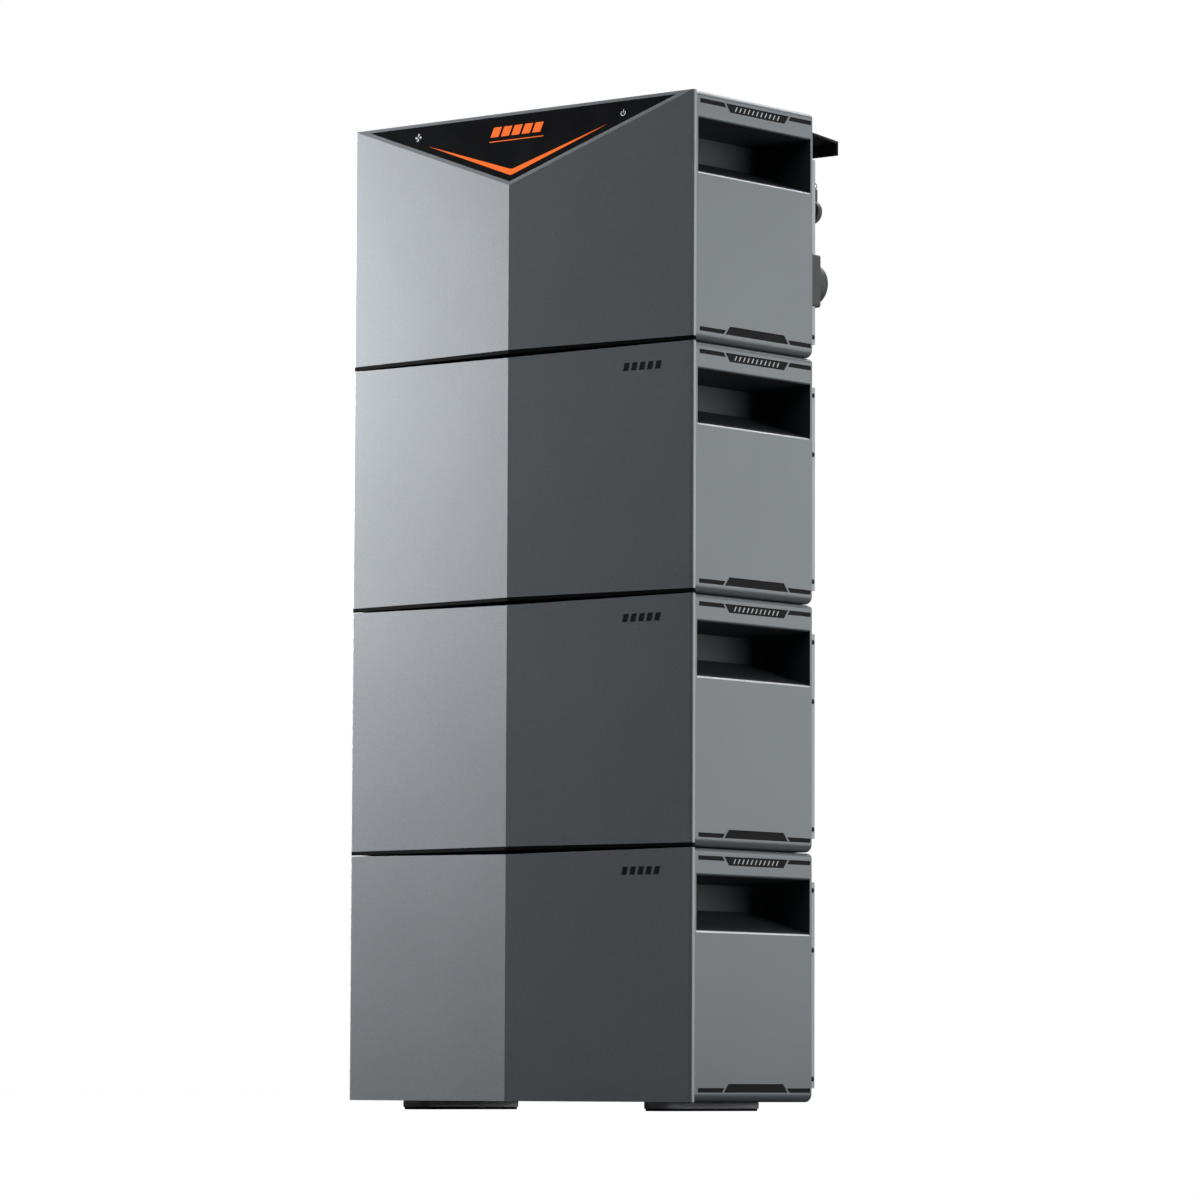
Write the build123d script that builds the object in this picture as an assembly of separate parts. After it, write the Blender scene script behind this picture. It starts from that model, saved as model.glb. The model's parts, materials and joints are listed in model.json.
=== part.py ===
from build123d import *
import os

# Floor-standing home battery: three battery modules and an inverter head, stacked on two
# foot bars and held to the wall behind by a folded bracket. Millimetres, +Z up, +Y to the
# wall. The origin is the centre of the bounding box's footprint, on the floor.

# ---- Driving dimensions: the stack ----
WIDTH = 490.0
BODY_DEPTH = 214.8          # from the front cover's side corners to the back edge
PROW = 19.6                 # how far the front ridge stands out between the corners
COVER_HEIGHT = 274.0        # one module
SEAM = 1.2                  # gap between two modules
FOOT_HEIGHT = 10.0
BRACKET_REACH = 49.5        # from the back edge to the wall
WALL = 3.0                  # moulded covers
SHEET = 2.0                 # folded steel

PITCH = COVER_HEIGHT + SEAM
FRONT = (PROW - BODY_DEPTH - BRACKET_REACH) / 2
BACK = FRONT + BODY_DEPTH
HALF = WIDTH / 2

# ---- Front cover ----
COVER_RETURN = 5.5          # how far it wraps round onto the side
COVER_CORNER = 3.0
PROW_BEVEL = 3.6            # how far a battery cover's top edge falls at the ridge
FACET_DROP = 85.5           # height of the head's triangular facet on the ridge
SIDE_START = FRONT + COVER_RETURN

# ---- Touch panel: a glass triangle let into the facet ----
PANEL_THICK = 2.0
PANEL_HALF = 222.5
PANEL_TOP = 3.5             # below the head's top edge
PANEL_HEIGHT = 77.8

# ---- Side shell and its grip recess ----
SHELL_DEPTH = 14.0          # how far the shell reaches in from the side
TOP_ROUND = 6.0
BOTTOM_ROUND = 9.0
LIP_ROUND = 2.5
RECESS_DEPTH = 64.8
RECESS_SILL = 184.1         # floor of the recess at its mouth
RECESS_RISE = 25.0          # how far the floor climbs to the inner wall
RECESS_HEAD = 244.6         # ceiling at its mouth
RECESS_FALL = 7.0           # how far the ceiling drops to the inner wall
RECESS_START = FRONT + 8.4
RECESS_END = FRONT + 211.4
SHELL_INNER = HALF - SHELL_DEPTH

# ---- Side inlays: a stripe broken by a trapezoid, near the top and near the bottom ----
GROOVE = 1.0
INLAY = 0.7
STRIPE_WIDTH = 5.0
STRIPE_START = FRONT + 11.7
STRIPE_END = FRONT + 212.5
TOP_STRIPE = 260.7          # lower edge of the top stripe
BOTTOM_STRIPE = 10.3        # lower edge of the bottom stripe
TRAPEZOID_LONG = 114.0
TRAPEZOID_SHORT = 98.0
TRAPEZOID_HEIGHT = 9.6
TRAPEZOID_GAP = 2.2         # bare line between stripe and trapezoid
TRAPEZOID_MIDDLE = FRONT + 114.4

# ---- Plates, rear covers and their screws ----
REAR_PROUD = 8.0
REAR_HALF = HALF - 2.0
REAR_BOTTOM = 15.3
REAR_TOP = 242.4
HEAD_REAR_TOP = 223.0
FLOOR_FLANGE = 20.0
UPPER_FLANGE = 25.0         # full width, above the grip recesses
DECK_FLANGE = 38.0          # between the grip recesses
SCREW_SHANK = 1.5
SCREW_HEAD = 2.8
SCREW_HEAD_THICK = 1.6
SCREW_LENGTH = 9.0
SCREW_FROM_BACK = 4.0
BATTERY_SCREW_HEIGHTS = (25.6, 167.4, 233.4)
HEAD_SCREW_HEIGHTS = (23.6,)

# ---- Locating studs and the blind-mate stack connector ----
STUD_X = 120.0
STUD_FROM_FRONT = 60.0
STUD_FROM_BACK = 22.0
STUD_PAD = 12.0
STUD_PIN = 5.0
STUD_PIN_HEIGHT = 6.0
STUD_HOLE = 5.6
PLUG_FROM_BACK = 28.0
PLUG_SIZE = (80.0, 24.0)
PLUG_RISE = 9.0             # above the deck
PLUG_BELOW = 14.0           # below the deck
PLUG_FLANGE = 6.0
PLUG_CLEAR = 0.6            # round the plug, in the deck and in the socket above
CONTACT_RADIUS = 3.0
CONTACT_SPACING = 26.0
CONTACT_DEPTH = 7.0
SOCKET_WALL = 8.0
SOCKET_HEIGHT = 16.0
SOCKET_DEPTH = 11.0

# ---- Cells: prismatic, side by side across the module ----
CELL_COUNT = 16
CELL_SIZE = (26.6, 148.0, 129.0)
CELL_PITCH = 27.0
CELL_FRONT = FRONT + 10.0
RAIL_HEIGHT = 6.0           # ribs on the floor plate that carry the cells
RAIL_WIDTH = 12.0
RAIL_HALF = 214.0
TERMINAL_RADIUS = 5.0
TERMINAL_HEIGHT = 3.0
TERMINAL_FROM_END = 26.0
BUSBAR_SIZE = (46.0, 16.0, 2.0)
CELL_BASE = SHEET + RAIL_HEIGHT
CELL_TOP = CELL_BASE + CELL_SIZE[2]
BOARD_THICK = 1.6
BOARD_GAP = 16.0            # boards stand this far above what carries them
STANDOFF_RADIUS = 3.0

# ---- Head: rear fittings ----
OUTLET_X = 219.5
OUTLET_Z = 86.5             # above the head's bottom
OUTLET_LEFT = 22.5          # base from the well's middle towards the middle of the unit
OUTLET_RIGHT = HALF - 0.5   # right side of the base, wrapped over the rear cover's fold
OUTLET_BELOW = 28.5         # base from the well's middle down
OUTLET_ABOVE = 30.5         # and up
OUTLET_PROUD = 8.0          # base, from the rear cover
OUTLET_SINK = 7.5           # part of the body behind the rear cover's face
OUTLET_PIN_HOLE = 2.6
OUTLET_PIN_SPACING = 19.0
WELL_RADIUS = 19.5
WELL_DEPTH = 12.5
LID_RADIUS = 24.0
LID_THICK = 15.6
LID_GAP = 0.4
LID_DISH = 10.6
LID_RIM = 1.0
KNUCKLE_RADIUS = 3.2
KNUCKLE_WIDTH = 24.0
EAR_WIDTH = 6.0
EAR_GAP = 0.4
PIN_RADIUS = 1.5
PIN_PLAY = 0.05
INLET_X = 227.8
INLET_Z = 167.0
INLET_BODY = 10.5
INLET_PROUD = 9.0
INLET_SINK = 6.0
INLET_WELL = 7.0
INLET_WELL_DEPTH = 12.0
INLET_CAP_RADIUS = 13.1
INLET_CAP_THICK = 7.0
INLET_HINGE_RISE = 29.3     # hinge axis above the inlet's axis
INLET_KNUCKLE_WIDTH = 8.0
INLET_EAR_WIDTH = 1.6
INLET_ARM_WIDTH = 12.0
INLET_ARM_THICK = 4.0
VENT_X = 66.0
VENT_Z = 110.0
VENT_ROWS = 9
VENT_PITCH = 9.0
VENT_SLOT = (70.0, 4.0)

# ---- Head: inner pieces ----
FAN_SIZE = 80.0
FAN_THICK = 25.0
FAN_HUB = 17.0
FAN_RING = 37.0
FAN_BLADES = 7
BOARD_SIZE = (420.0, 130.0)
HEAT_SINK_SIZE = (260.0, 100.0, 42.0)
HEAT_SINK_BASE = 8.0
FIN_COUNT = 21
FIN_THICK = 2.5
COMPONENTS = ((-170.0, 44.0, 40.0, 30.0), (-122.0, 30.0, 30.0, 26.0), (165.0, 52.0, 46.0, 34.0))

# ---- Wall bracket and feet ----
BRACKET_SHEET = 2.5
BRACKET_ROOT = (224.0, 253.7)
BRACKET_FALL = 4.5
BRACKET_LIP = 16.0
BRACKET_HALF = HALF - 1.0
BRACKET_HOLE = 3.25
BRACKET_SPACING = 400.0
BRACKET_HOLE_RISE = 6.5     # hole centre above the lip's lower edge
FOOT_X = 173.0
FOOT_WIDTH = 35.0
FOOT_START = FRONT + 20.0
FOOT_LENGTH = 182.0
SOLE_THICK = 2.5
SOLE_INSET = 1.5


# ---- Ways of placing shapes ----
def block(x_span, y_span, z_span):
    """Box filling three (low, high) spans."""
    spans = (x_span, y_span, z_span)
    middle = [(low + high) / 2 for low, high in spans]
    return Pos(*middle) * Box(*[high - low for low, high in spans])


def along_y(section, y_span):
    """Extrude an X-Z section between two depths."""
    low, high = y_span
    plane = Plane(origin=(0, high, 0), x_dir=(1, 0, 0), z_dir=(0, -1, 0))
    return extrude(plane * section, high - low, dir=(0, -1, 0))


def along_x(section, x_span):
    """Extrude a Y-Z section between two sides."""
    low, high = x_span
    plane = Plane(origin=(low, 0, 0), x_dir=(0, 1, 0), z_dir=(1, 0, 0))
    return extrude(plane * section, high - low, dir=(1, 0, 0))


def rod_y(x, z, radius, y_span):
    """Round bar along Y."""
    return along_y(Pos(x, z) * Circle(radius), y_span)


def rod_x(y, z, radius, x_span):
    """Round bar along X."""
    return along_x(Pos(y, z) * Circle(radius), x_span)


def along_z(section, z_span):
    """Extrude a plan between two heights."""
    low, high = z_span
    return extrude(Pos(0, 0, low) * section, high - low, dir=(0, 0, 1))


def rod_z(x, y, radius, z_span):
    """Round bar along Z."""
    return along_z(Pos(x, y) * Circle(radius), z_span)


def both_sides(piece):
    """A piece and its mirror image across the middle."""
    return [piece, mirror(piece, about=Plane.YZ)]


# ---- Front covers ----
def prow_plan(inset, back):
    """Plan of a front cover: a shallow prow with square returns at its sides."""
    side = HALF - inset
    corner = FRONT + inset
    return Polygon((-side, back), (-side, corner), (0, corner - PROW), (side, corner), (side, back), align=None)


def prow_cutter(inset, fall_height, fall):
    """Everything in front of a plane that leans from the top edge down to the ridge."""
    slope = fall / fall_height
    past = 2 * WALL
    top = (FRONT + inset + past * slope, COVER_HEIGHT + past)
    foot = (FRONT + inset - fall - past * slope, COVER_HEIGHT - fall_height - past)
    out = FRONT - 3 * PROW
    return along_x(Polygon(foot, top, (out, top[1]), (out, foot[1]), align=None), (-WIDTH, WIDTH))


def cover_blank(roof):
    """Hollow front cover, closed at its top and bottom and open towards the back."""
    plan = prow_plan(0, SIDE_START)
    corners = [v for v in plan.vertices() if abs(v.X) > HALF / 2 and v.Y < FRONT + COVER_RETURN / 2]
    skin = along_z(fillet(corners, COVER_CORNER), (0, COVER_HEIGHT))
    room = along_z(prow_plan(WALL, BACK), (WALL, COVER_HEIGHT - roof))
    return skin, room


def battery_cover():
    """Front cover whose top edge falls a little towards the ridge."""
    skin, room = cover_blank(WALL + PROW_BEVEL)
    return skin - room - prow_cutter(0, PROW_BEVEL, PROW)


def facet_slab(low, high):
    """Layer of the head's facet between two depths below its surface."""
    return prow_cutter(high, FACET_DROP, PROW) - prow_cutter(low, FACET_DROP, PROW)


def touch_panel():
    """Glass triangle, flush in the facet."""
    top = COVER_HEIGHT - PANEL_TOP
    outline = Polygon((-PANEL_HALF, top), (PANEL_HALF, top), (0, top - PANEL_HEIGHT), align=None)
    return along_y(outline, (FRONT - 2 * PROW, SIDE_START)) & facet_slab(0, PANEL_THICK)


def head_cover():
    """Front cover cut back to a triangular facet, with a seat for the touch panel."""
    skin, room = cover_blank(WALL)
    wall = PANEL_THICK + WALL
    return skin - prow_cutter(0, FACET_DROP, PROW) - touch_panel() - (room - prow_cutter(wall, FACET_DROP, PROW))


# ---- Side shells and inlays ----
def shell_section(inset):
    """Rounded section of a side shell, open towards the middle."""
    start = SHELL_INNER - inset
    side = HALF - inset
    top = COVER_HEIGHT - inset
    outline = FilletPolyline(
        (start, inset), (side, inset), (side, top), (start, top),
        radius=[BOTTOM_ROUND - inset, TOP_ROUND - inset],
    )
    return make_face([outline, Line((start, top), (start, inset))])


def recess_section():
    """Grip recess: its floor climbs and its ceiling drops towards the inner wall."""
    inner = HALF - RECESS_DEPTH
    return Polygon(
        (HALF, RECESS_SILL), (HALF, RECESS_HEAD),
        (inner, RECESS_HEAD - RECESS_FALL), (inner, RECESS_SILL + RECESS_RISE), align=None,
    )


def trapezoid(low, upwards):
    """Y-Z outline of a trapezoid whose long side is the stripe's outer edge."""
    half_long = TRAPEZOID_LONG / 2
    half_short = TRAPEZOID_SHORT / 2
    long_z, short_z = (low, low + TRAPEZOID_HEIGHT) if upwards else (low + TRAPEZOID_HEIGHT, low)
    middle = TRAPEZOID_MIDDLE
    return Polygon(
        (middle - half_long, long_z), (middle + half_long, long_z),
        (middle + half_short, short_z), (middle - half_short, short_z), align=None,
    )


def inlay_outlines():
    """Y-Z outlines of one side's six inlays."""
    outlines = []
    for low, upwards in ((BOTTOM_STRIPE, True), (TOP_STRIPE, False)):
        base = low if upwards else low + STRIPE_WIDTH - TRAPEZOID_HEIGHT
        centre = trapezoid(base, upwards)
        outlines.append(centre)
        stripe = Polygon(
            (STRIPE_START, low), (STRIPE_END, low),
            (STRIPE_END, low + STRIPE_WIDTH), (STRIPE_START, low + STRIPE_WIDTH), align=None,
        )
        ends = stripe - offset(centre, TRAPEZOID_GAP, kind=Kind.INTERSECTION)
        outlines += list(ends.faces())
    return outlines


def side_inlays(rise):
    """Dark strips let into both sides of a module."""
    floor = HALF - GROOVE
    strips = [along_x(outline, (floor, floor + INLAY)) for outline in inlay_outlines()]
    return [Pos(0, 0, rise) * piece for strip in strips for piece in both_sides(strip)]


def side_shell():
    """Right side shell: rounded panel with its grip recess moulded in."""
    shell = along_y(shell_section(0), (SIDE_START, BACK))
    shell -= along_y(shell_section(WALL), (SIDE_START + WALL, BACK - WALL))
    pocket = offset(recess_section(), WALL, kind=Kind.INTERSECTION)
    pocket = along_y(pocket, (SIDE_START, BACK)) & block((0, HALF - GROOVE), (SIDE_START, BACK), (0, COVER_HEIGHT))
    shell = shell + pocket - along_y(recess_section(), (RECESS_START, RECESS_END))
    lips = shell.edges().filter_by(Axis.Y).group_by(Axis.X)[-1]
    lips = [e for e in lips if RECESS_SILL - 1 < e.center().Z < RECESS_HEAD + 1]
    shell = fillet(lips, LIP_ROUND)
    for outline in inlay_outlines():
        shell -= along_x(outline, (HALF - GROOVE, HALF + GROOVE))
    return shell


# ---- Folded plates and rear covers ----
def stud_places():
    """Plan places of the four locating studs."""
    return [(x, y) for x in (-STUD_X, STUD_X) for y in (FRONT + STUD_FROM_FRONT, BACK - STUD_FROM_BACK)]


def connector_block(margin, z_span):
    """Block round the stack connector's place, larger than the plug by a margin."""
    half_x = PLUG_SIZE[0] / 2 + margin
    half_y = PLUG_SIZE[1] / 2 + margin
    middle = BACK - PLUG_FROM_BACK
    return block((-half_x, half_x), (middle - half_y, middle + half_y), z_span)


def floor_plate():
    """Steel tray under a module, with two ribs for what it carries and a flange up its back."""
    plate = block((-SHELL_INNER, SHELL_INNER), (SIDE_START, BACK), (0, SHEET))
    plate += block((-SHELL_INNER, SHELL_INNER), (BACK - SHEET, BACK), (0, FLOOR_FLANGE))
    for y in terminal_rows():
        plate += block((-RAIL_HALF, RAIL_HALF), (y - RAIL_WIDTH / 2, y + RAIL_WIDTH / 2), (SHEET, CELL_BASE))
    for x, y in stud_places():
        plate -= rod_z(x, y, STUD_HOLE, (-1, SHEET + 1))
    return plate - connector_block(SOCKET_WALL, (-1, SHEET + 1))


def roof_plate(flange):
    """Steel plate over a module, with a flange down its back."""
    z_top = COVER_HEIGHT
    between = HALF - RECESS_DEPTH - 2 * WALL
    plate = block((-SHELL_INNER, SHELL_INNER), (SIDE_START, BACK), (z_top - SHEET, z_top))
    plate += block((-SHELL_INNER, SHELL_INNER), (BACK - SHEET, BACK), (z_top - UPPER_FLANGE, z_top))
    return plate + block((-between, between), (BACK - SHEET, BACK), (z_top - flange, z_top))


def deck_plate():
    """Top of a battery module, with studs that carry and locate the module above."""
    plate = roof_plate(DECK_FLANGE) - connector_block(PLUG_CLEAR, (0, PITCH))
    for x, y in stud_places():
        plate += rod_z(x, y, STUD_PAD, (COVER_HEIGHT - SHEET, PITCH))
        plate += rod_z(x, y, STUD_PIN, (PITCH, PITCH + STUD_PIN_HEIGHT))
    return plate


def stack_plug():
    """Plug that stands up through the deck, with two power contacts."""
    plug = connector_block(0, (COVER_HEIGHT - PLUG_BELOW, COVER_HEIGHT + PLUG_RISE))
    plug += connector_block(PLUG_FLANGE, (COVER_HEIGHT - PLUG_BELOW, COVER_HEIGHT - SHEET))
    for x in (-CONTACT_SPACING, 0, CONTACT_SPACING):
        top = COVER_HEIGHT + PLUG_RISE
        plug -= rod_z(x, BACK - PLUG_FROM_BACK, CONTACT_RADIUS, (top - CONTACT_DEPTH, top + 1))
    return plug


def stack_socket():
    """Socket let into the floor of a module, open downwards."""
    body = connector_block(SOCKET_WALL, (0, SOCKET_HEIGHT))
    return body - connector_block(PLUG_CLEAR, (-1, SOCKET_DEPTH))


def rear_cover(top, screw_heights):
    """Folded steel tray that closes the back, standing proud of the back edge."""
    cover = block((-REAR_HALF, REAR_HALF), (BACK, BACK + REAR_PROUD), (REAR_BOTTOM, top))
    inside = REAR_HALF - SHEET
    cover -= block((-inside, inside), (BACK - 1, BACK + REAR_PROUD - SHEET), (REAR_BOTTOM + SHEET, top - SHEET))
    for z in screw_heights:
        cover -= rod_x(BACK + SCREW_FROM_BACK, z, SCREW_SHANK, (-HALF, HALF))
    return cover


def cover_screws(heights, rise):
    """Button-head screws in the rear cover's side folds."""
    screws = []
    for z in heights:
        y = BACK + SCREW_FROM_BACK
        screw = rod_x(y, z + rise, SCREW_SHANK, (REAR_HALF - SCREW_LENGTH, REAR_HALF))
        screw += rod_x(y, z + rise, SCREW_HEAD, (REAR_HALF, REAR_HALF + SCREW_HEAD_THICK))
        screws += both_sides(screw)
    return screws


# ---- Battery module's inner pieces ----
def cell_x(index):
    """Middle of one cell across the module."""
    return (index - (CELL_COUNT - 1) / 2) * CELL_PITCH


def terminal_rows():
    """Depths of the two rows of cell terminals."""
    return (CELL_FRONT + TERMINAL_FROM_END, CELL_FRONT + CELL_SIZE[1] - TERMINAL_FROM_END)


def cells(rise):
    """Prismatic cells standing side by side, each with two terminals."""
    width, depth, _ = CELL_SIZE
    group = []
    for index in range(CELL_COUNT):
        x = cell_x(index)
        cell = block((x - width / 2, x + width / 2), (CELL_FRONT, CELL_FRONT + depth), (CELL_BASE, CELL_TOP))
        for y in terminal_rows():
            cell += rod_z(x, y, TERMINAL_RADIUS, (CELL_TOP, CELL_TOP + TERMINAL_HEIGHT))
        group.append(Pos(0, 0, rise) * cell)
    return group


def busbars(rise):
    """Copper links that join the cells in series, alternating between the two rows."""
    length, width, thick = BUSBAR_SIZE
    low = CELL_TOP + TERMINAL_HEIGHT
    group = []
    for index in range(CELL_COUNT - 1):
        x = (cell_x(index) + cell_x(index + 1)) / 2
        y = terminal_rows()[index % 2]
        bar = block((x - length / 2, x + length / 2), (y - width / 2, y + width / 2), (low, low + thick))
        group.append(Pos(0, 0, rise) * bar)
    return group


def bms_board():
    """Battery management board on four posts that stand on the cells."""
    z = CELL_TOP + BOARD_GAP
    middle = CELL_FRONT + CELL_SIZE[1] / 2
    board = block((-150, 150), (middle - 45, middle + 45), (z, z + BOARD_THICK))
    board += block((-90, 90), (middle - 25, middle + 25), (z + BOARD_THICK, z + 12))
    for x in (-140.0, 140.0):
        for y in (middle - 34, middle + 34):
            board += rod_z(x, y, STANDOFF_RADIUS, (CELL_TOP, z))
    return board


# ---- Head's rear fittings ----
REAR_FACE = BACK + REAR_PROUD
OUTLET_FACE = REAR_FACE + OUTLET_PROUD
OUTLET_HINGE = (OUTLET_FACE + KNUCKLE_RADIUS + LID_GAP, OUTLET_Z + LID_RADIUS + KNUCKLE_RADIUS)
INLET_FACE = REAR_FACE + INLET_PROUD
INLET_HINGE = (INLET_FACE + KNUCKLE_RADIUS + LID_GAP, INLET_Z + INLET_HINGE_RISE)


def hinge_ears(x, width, ear_width, hinge, root):
    """Two ears that hold a lid's pin, standing out from the face behind it."""
    y, z = hinge
    ears = None
    for side in (-1, 1):
        inner = x + side * (width / 2 + EAR_GAP)
        span = sorted((inner, inner + side * ear_width))
        ear = rod_x(y, z, KNUCKLE_RADIUS, span)
        ear += block(span, (root, y), (z - KNUCKLE_RADIUS, z + KNUCKLE_RADIUS))
        ear -= rod_x(y, z, PIN_RADIUS + PIN_PLAY, span)
        ears = ear if ears is None else ears + ear
    return ears


def hinge_knuckle(x, width, hinge, arm_to, arm_y):
    """Lid's knuckle and the arm that runs down from it."""
    y, z = hinge
    span = (x - width / 2, x + width / 2)
    knuckle = rod_x(y, z, KNUCKLE_RADIUS, span) + block(span, arm_y, (arm_to, z))
    return knuckle - rod_x(y, z, PIN_RADIUS + PIN_PLAY, span)


def hinge_pin(x, width, ear_width, hinge):
    """Steel pin through ears and knuckle."""
    half = width / 2 + EAR_GAP + ear_width
    return rod_x(hinge[0], hinge[1], PIN_RADIUS, (x - half, x + half))


def outlet_socket():
    """Earthed mains outlet: an upright base with a round well for the plug."""
    left = OUTLET_X - OUTLET_LEFT
    z_span = (OUTLET_Z - OUTLET_BELOW, OUTLET_Z + OUTLET_ABOVE)
    base = block((left, OUTLET_RIGHT), (BACK + LID_GAP, OUTLET_FACE), z_span)
    base = fillet(base.edges().filter_by(Axis.Y), WALL)
    base -= block((left, REAR_HALF), (BACK, REAR_FACE), z_span)
    base += rod_y(OUTLET_X, OUTLET_Z, WELL_RADIUS + WALL, (REAR_FACE - OUTLET_SINK, REAR_FACE))
    base -= rod_y(OUTLET_X, OUTLET_Z, WELL_RADIUS, (OUTLET_FACE - WELL_DEPTH, OUTLET_FACE + 1))
    for side in (-0.5, 0.5):
        x = OUTLET_X + side * OUTLET_PIN_SPACING
        base -= rod_y(x, OUTLET_Z, OUTLET_PIN_HOLE, (REAR_FACE - OUTLET_SINK + 1, OUTLET_FACE))
    return base + hinge_ears(OUTLET_X, KNUCKLE_WIDTH, EAR_WIDTH, OUTLET_HINGE, OUTLET_FACE)


def outlet_lid():
    """Round dished lid that covers the well."""
    low = OUTLET_FACE + LID_GAP
    lid = rod_y(OUTLET_X, OUTLET_Z, LID_RADIUS, (low, low + LID_THICK))
    lid -= rod_y(OUTLET_X, OUTLET_Z, LID_RADIUS - WALL, (low - 1, low + LID_DISH))
    rim = lid.edges().filter_by(GeomType.CIRCLE).sort_by(Axis.Y)[-1]
    lid = fillet(rim, LID_RIM)
    arm_to = OUTLET_Z + LID_RADIUS - WALL
    return lid + hinge_knuckle(OUTLET_X, KNUCKLE_WIDTH, OUTLET_HINGE, arm_to, (low, low + WALL))


def inlet_socket():
    """Small round panel connector with a blind well."""
    plate = rod_y(INLET_X, INLET_Z, INLET_BODY, (REAR_FACE - INLET_SINK, INLET_FACE))
    plate -= rod_y(INLET_X, INLET_Z, INLET_WELL, (INLET_FACE - INLET_WELL_DEPTH, INLET_FACE + 1))
    half = INLET_KNUCKLE_WIDTH / 2 + EAR_GAP + INLET_EAR_WIDTH
    foot = block(
        (INLET_X - half, INLET_X + half), (REAR_FACE, REAR_FACE + WALL),
        (INLET_Z, INLET_HINGE[1] + KNUCKLE_RADIUS),
    )
    foot -= rod_y(INLET_X, INLET_Z, INLET_WELL, (REAR_FACE - 1, INLET_FACE))
    return plate + foot + hinge_ears(INLET_X, INLET_KNUCKLE_WIDTH, INLET_EAR_WIDTH, INLET_HINGE, REAR_FACE)


def inlet_cap():
    """Round cap on a flat arm that hinges above the inlet."""
    low = INLET_FACE + LID_GAP
    cap = rod_y(INLET_X, INLET_Z, INLET_CAP_RADIUS, (low, low + INLET_CAP_THICK))
    rim = cap.edges().filter_by(GeomType.CIRCLE).sort_by(Axis.Y)[-1]
    cap = fillet(rim, LID_RIM)
    outer = low + INLET_CAP_THICK
    arm_y = (outer - INLET_ARM_THICK, outer)
    arm_top = INLET_HINGE[1] - KNUCKLE_RADIUS - LID_GAP
    half = INLET_ARM_WIDTH / 2
    cap += block((INLET_X - half, INLET_X + half), arm_y, (INLET_Z, arm_top))
    return cap + hinge_knuckle(INLET_X, INLET_KNUCKLE_WIDTH, INLET_HINGE, INLET_Z, arm_y)


def fan_slots():
    """Outlines of the two vents in the head's rear cover."""
    slots = []
    for x in (-VENT_X, VENT_X):
        for row in range(VENT_ROWS):
            z = VENT_Z + (row - (VENT_ROWS - 1) / 2) * VENT_PITCH
            slots.append(Pos(x, z) * SlotOverall(*VENT_SLOT))
    return slots


def head_rear_cover():
    """Rear cover of the head, cut for the vents, the outlet and the inlet."""
    cover = rear_cover(HEAD_REAR_TOP, HEAD_SCREW_HEIGHTS)
    through = (REAR_FACE - OUTLET_SINK - 1, REAR_FACE + 1)
    for slot in fan_slots():
        cover -= along_y(slot, through)
    cover -= rod_y(OUTLET_X, OUTLET_Z, WELL_RADIUS + WALL, through)
    cover -= rod_y(INLET_X, INLET_Z, INLET_BODY, through)
    return cover


# ---- Head's inner pieces ----
def fans():
    """Two axial fans behind the vents, each a frame with a bladed hub."""
    group = []
    back = BACK - SHEET
    half = FAN_SIZE / 2
    for x in (-VENT_X, VENT_X):
        y_span = (back - FAN_THICK, back)
        frame = block((x - half, x + half), y_span, (VENT_Z - half, VENT_Z + half))
        frame -= rod_y(x, VENT_Z, FAN_RING, y_span)
        hub = rod_y(x, VENT_Z, FAN_HUB, (y_span[0] + WALL, y_span[1]))
        for blade in range(FAN_BLADES):
            vane = Rot(0, 0, blade * 360 / FAN_BLADES) * Pos(FAN_HUB + 10, 0) * Rectangle(24, 2)
            hub += along_y(Pos(x, VENT_Z) * vane, (y_span[0] + WALL, y_span[1] - WALL))
        for angle in (0, 90):
            strut = Rot(0, 0, angle + 45) * Rectangle(2 * FAN_RING + 4, 3)
            frame += along_y(Pos(x, VENT_Z) * strut, (y_span[0], y_span[0] + WALL))
        group.append(frame + hub)
    return group


def inverter_board():
    """Power board on posts, with its chokes and capacitors."""
    z = SHEET + BOARD_GAP
    half_x = BOARD_SIZE[0] / 2
    y_span = (CELL_FRONT, CELL_FRONT + BOARD_SIZE[1])
    middle = sum(y_span) / 2
    board = block((-half_x, half_x), y_span, (z, z + BOARD_THICK))
    for x, width, depth, height in COMPONENTS:
        spans = ((x - width / 2, x + width / 2), (middle - depth / 2, middle + depth / 2))
        board += block(*spans, (z + BOARD_THICK, z + BOARD_THICK + height))
    for x in (-half_x + 8, half_x - 8):
        for y in (y_span[0] + 8, y_span[1] - 20):
            board += rod_z(x, y, STANDOFF_RADIUS, (SHEET, z))
    return board


def heat_sink():
    """Finned aluminium block that stands on the power board."""
    width, depth, height = HEAT_SINK_SIZE
    low = SHEET + BOARD_GAP + BOARD_THICK
    y_span = (CELL_FRONT + 15, CELL_FRONT + 15 + depth)
    half = width / 2
    sink = block((-half + 30, half), y_span, (low, low + HEAT_SINK_BASE))
    run = width - 30 - FIN_THICK
    for index in range(FIN_COUNT):
        x = -half + 30 + index * run / (FIN_COUNT - 1)
        sink += block((x, x + FIN_THICK), y_span, (low + HEAT_SINK_BASE, low + height))
    return sink


# ---- Wall bracket and feet ----
def wall_bracket():
    """Folded steel strip: root on the back edge, arm falling to the wall, lip for the bolts."""
    low, high = BRACKET_ROOT
    end = BACK + BRACKET_REACH
    lip_top = high - BRACKET_FALL
    lip_bottom = lip_top - BRACKET_LIP
    thick = BRACKET_SHEET
    section = Polygon(
        (BACK, low), (BACK, high), (end, lip_top), (end, lip_bottom), (end - thick, lip_bottom),
        (end - thick, lip_top - thick), (BACK + thick, high - thick), (BACK + thick, low), align=None,
    )
    bracket = along_x(section, (-BRACKET_HALF, BRACKET_HALF))
    for x in (-BRACKET_SPACING / 2, BRACKET_SPACING / 2):
        bracket -= rod_y(x, lip_bottom + BRACKET_HOLE_RISE, BRACKET_HOLE, (end - 2 * thick, end + 1))
    return bracket


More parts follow.
